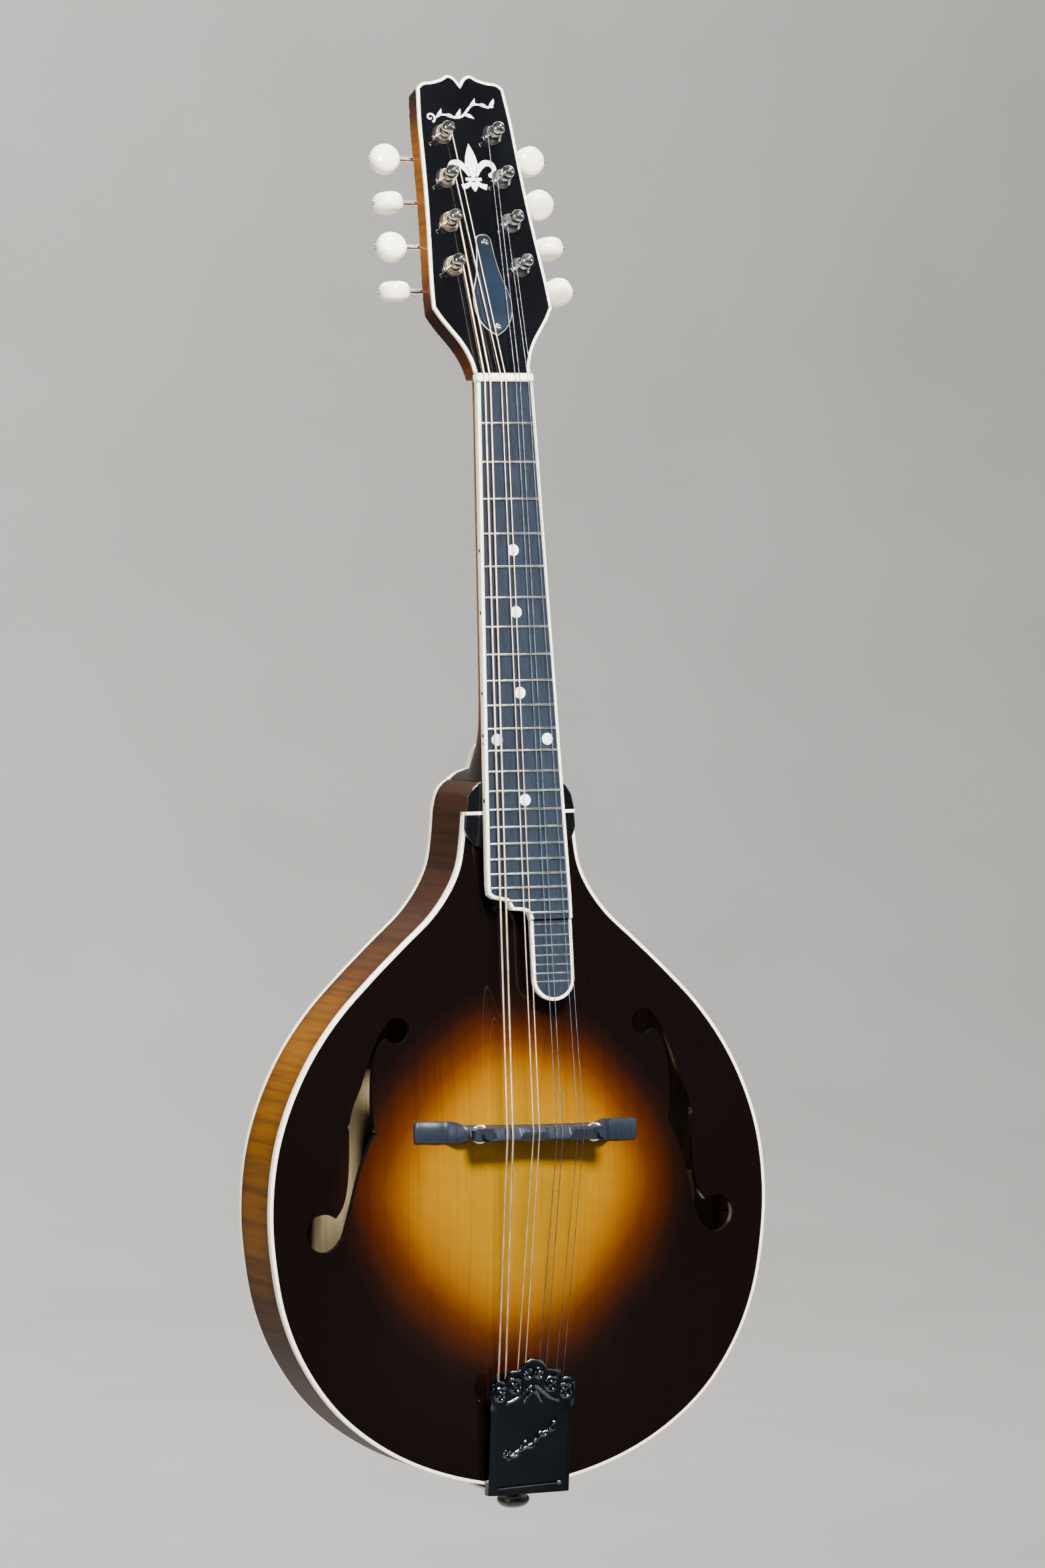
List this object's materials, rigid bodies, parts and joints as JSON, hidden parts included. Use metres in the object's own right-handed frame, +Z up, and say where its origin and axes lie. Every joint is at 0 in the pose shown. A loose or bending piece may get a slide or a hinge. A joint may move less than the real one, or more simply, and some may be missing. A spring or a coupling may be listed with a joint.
{
  "type": "mandolin",
  "caption": "Carved-top teardrop mandolin with f-holes, bound sunburst body, adjustable bridge, metal tailpiece and geared tuners.",
  "frame": {"origin": "middle of the line where a wall yoke bears under the headstock's flare, half-way through the headstock's thickness", "axes": "+Z up along the hanging instrument, front faces -Y, treble side is +X"},
  "size_m": [0.2564, 0.1076, 0.6896],
  "materials": {
    "spruce_top": "gloss lacquer over an amber to near-black sunburst",
    "maple_back": "gloss lacquer over flamed maple",
    "maple_sides": "gloss lacquer over flamed maple",
    "maple_neck": "gloss lacquer over maple",
    "inner_wood": "bare, unfinished",
    "black_lacquer": "black gloss lacquer",
    "ebony": "satin, oiled",
    "binding": "gloss, slightly yellowed",
    "bone": "polished bone",
    "label_paper": "plain aged paper",
    "end_pin_black": "satin ebony",
    "steel_rod": "plain steel",
    "nickel": "nickel plate, lightly worn",
    "polished_nickel": "mirror-polished nickel plate",
    "button_cream": "gloss cream plastic",
    "wound_string": "phosphor-bronze wound",
    "plain_string": "bright steel"
  },
  "bodies": {
    "root": {"headstock_overlay": "black_lacquer", "headstock_binding": "binding", "truss_cover": "black_lacquer", "tuner_plate_bass": "nickel", "tuner_plate_treble": "nickel", "neck": "maple_neck", "fingerboard_binding": "binding", "fingerboard": "ebony", "nut": "bone", "truss_rod": "steel_rod", "top_plate": "spruce_top", "back_plate": "maple_back", "binding_front": "binding", "binding_back": "binding", "rib_bass": "maple_sides", "rib_treble": "maple_sides", "lining_top_bass": "inner_wood", "lining_top_treble": "inner_wood", "lining_back_bass": "inner_wood", "lining_back_treble": "inner_wood", "head_block": "inner_wood", "tail_block": "inner_wood", "tone_bar_bass": "inner_wood", "tone_bar_treble": "inner_wood", "label": "label_paper", "fingerboard_riser": "black_lacquer", "bridge_base": "ebony", "bridge_post_bass": "nickel", "bridge_post_treble": "nickel", "tailpiece_base": "nickel", "end_pin": "end_pin_black", "string_1": "wound_string", "string_2": "wound_string", "string_3": "wound_string", "string_4": "wound_string", "string_5": "plain_string", "string_6": "plain_string", "string_7": "plain_string", "string_8": "plain_string"},
    "saddle": {"bridge_saddle": "ebony"},
    "wheel_bass": {"bridge_wheel_bass": "nickel"},
    "wheel_treble": {"bridge_wheel_treble": "nickel"},
    "cover": {"tailpiece_cover": "polished_nickel"},
    "truss_nut": {"truss_nut": "nickel"},
    "button_bass_1": {"tuner_button_bass_1": "button_cream"},
    "post_bass_1": {"tuner_post_bass_1": "nickel"},
    "button_bass_2": {"tuner_button_bass_2": "button_cream"},
    "post_bass_2": {"tuner_post_bass_2": "nickel"},
    "button_bass_3": {"tuner_button_bass_3": "button_cream"},
    "post_bass_3": {"tuner_post_bass_3": "nickel"},
    "button_bass_4": {"tuner_button_bass_4": "button_cream"},
    "post_bass_4": {"tuner_post_bass_4": "nickel"},
    "button_treble_1": {"tuner_button_treble_1": "button_cream"},
    "post_treble_1": {"tuner_post_treble_1": "nickel"},
    "button_treble_2": {"tuner_button_treble_2": "button_cream"},
    "post_treble_2": {"tuner_post_treble_2": "nickel"},
    "button_treble_3": {"tuner_button_treble_3": "button_cream"},
    "post_treble_3": {"tuner_post_treble_3": "nickel"},
    "button_treble_4": {"tuner_button_treble_4": "button_cream"},
    "post_treble_4": {"tuner_post_treble_4": "nickel"}
  },
  "joints": [
    {"name": "saddle_height", "type": "slide", "parent": "root", "child": "saddle", "axis": [0, 1, 0], "range_m": [0, 0.0015]},
    {"name": "tailpiece_cover_slide", "type": "slide", "parent": "root", "child": "cover", "axis": [0, 0.1142, -0.9935], "range_m": [0, 0.025]},
    {"name": "truss_nut_turn", "type": "hinge", "parent": "root", "child": "truss_nut", "pos_m": [0, -0.00175, -0.00667], "axis": [0, 0.099, 0.9951], "range_deg": [-180, 180]},
    {"name": "wheel_bass_turn", "type": "hinge", "parent": "saddle", "child": "wheel_bass", "pos_m": [-0.02949, -0.04775, -0.38113], "axis": [0, -1, 0], "range_deg": [-680, 0]},
    {"name": "wheel_treble_turn", "type": "hinge", "parent": "saddle", "child": "wheel_treble", "pos_m": [0.02949, -0.04775, -0.38257], "axis": [0, -1, 0], "range_deg": [-680, 0]},
    {"name": "button_bass_1_turn", "type": "hinge", "parent": "root", "child": "button_bass_1", "pos_m": [-0.013, 0.04063, 0.0836], "axis": [-1, 0, 0], "continuous": true},
    {"name": "button_bass_2_turn", "type": "hinge", "parent": "root", "child": "button_bass_2", "pos_m": [-0.01453, 0.03291, 0.06204], "axis": [-1, 0, 0], "continuous": true},
    {"name": "button_bass_3_turn", "type": "hinge", "parent": "root", "child": "button_bass_3", "pos_m": [-0.01606, 0.0252, 0.04048], "axis": [-1, 0, 0], "continuous": true},
    {"name": "button_bass_4_turn", "type": "hinge", "parent": "root", "child": "button_bass_4", "pos_m": [-0.01759, 0.01749, 0.01891], "axis": [-1, 0, 0], "continuous": true},
    {"name": "post_bass_1_turn", "type": "hinge", "parent": "root", "child": "post_bass_1", "pos_m": [-0.013, 0.0276, 0.09527], "axis": [0, -0.9416, 0.3368], "continuous": true},
    {"name": "post_bass_2_turn", "type": "hinge", "parent": "root", "child": "post_bass_2", "pos_m": [-0.01453, 0.01988, 0.07371], "axis": [0, -0.9416, 0.3368], "continuous": true},
    {"name": "post_bass_3_turn", "type": "hinge", "parent": "root", "child": "post_bass_3", "pos_m": [-0.01606, 0.01217, 0.05215], "axis": [0, -0.9416, 0.3368], "continuous": true},
    {"name": "post_bass_4_turn", "type": "hinge", "parent": "root", "child": "post_bass_4", "pos_m": [-0.01759, 0.00446, 0.03058], "axis": [0, -0.9416, 0.3368], "continuous": true},
    {"name": "button_treble_1_turn", "type": "hinge", "parent": "root", "child": "button_treble_1", "pos_m": [0.013, 0.04063, 0.0836], "axis": [1, 0, 0], "continuous": true},
    {"name": "button_treble_2_turn", "type": "hinge", "parent": "root", "child": "button_treble_2", "pos_m": [0.01453, 0.03291, 0.06204], "axis": [1, 0, 0], "continuous": true},
    {"name": "button_treble_3_turn", "type": "hinge", "parent": "root", "child": "button_treble_3", "pos_m": [0.01606, 0.0252, 0.04048], "axis": [1, 0, 0], "continuous": true},
    {"name": "button_treble_4_turn", "type": "hinge", "parent": "root", "child": "button_treble_4", "pos_m": [0.01759, 0.01749, 0.01891], "axis": [1, 0, 0], "continuous": true},
    {"name": "post_treble_1_turn", "type": "hinge", "parent": "root", "child": "post_treble_1", "pos_m": [0.013, 0.0276, 0.09527], "axis": [0, -0.9416, 0.3368], "continuous": true},
    {"name": "post_treble_2_turn", "type": "hinge", "parent": "root", "child": "post_treble_2", "pos_m": [0.01453, 0.01988, 0.07371], "axis": [0, -0.9416, 0.3368], "continuous": true},
    {"name": "post_treble_3_turn", "type": "hinge", "parent": "root", "child": "post_treble_3", "pos_m": [0.01606, 0.01217, 0.05215], "axis": [0, -0.9416, 0.3368], "continuous": true},
    {"name": "post_treble_4_turn", "type": "hinge", "parent": "root", "child": "post_treble_4", "pos_m": [0.01759, 0.00446, 0.03058], "axis": [0, -0.9416, 0.3368], "continuous": true}
  ],
  "couplings": [
    {"joint": "wheel_bass_turn", "follows": "saddle_height", "rad_per_m": -7854},
    {"joint": "wheel_treble_turn", "follows": "saddle_height", "rad_per_m": -7854},
    {"joint": "post_bass_1_turn", "follows": "button_bass_1_turn", "ratio": 0.071429},
    {"joint": "post_bass_2_turn", "follows": "button_bass_2_turn", "ratio": 0.071429},
    {"joint": "post_bass_3_turn", "follows": "button_bass_3_turn", "ratio": 0.071429},
    {"joint": "post_bass_4_turn", "follows": "button_bass_4_turn", "ratio": 0.071429},
    {"joint": "post_treble_1_turn", "follows": "button_treble_1_turn", "ratio": -0.071429},
    {"joint": "post_treble_2_turn", "follows": "button_treble_2_turn", "ratio": -0.071429},
    {"joint": "post_treble_3_turn", "follows": "button_treble_3_turn", "ratio": -0.071429},
    {"joint": "post_treble_4_turn", "follows": "button_treble_4_turn", "ratio": -0.071429}
  ]
}
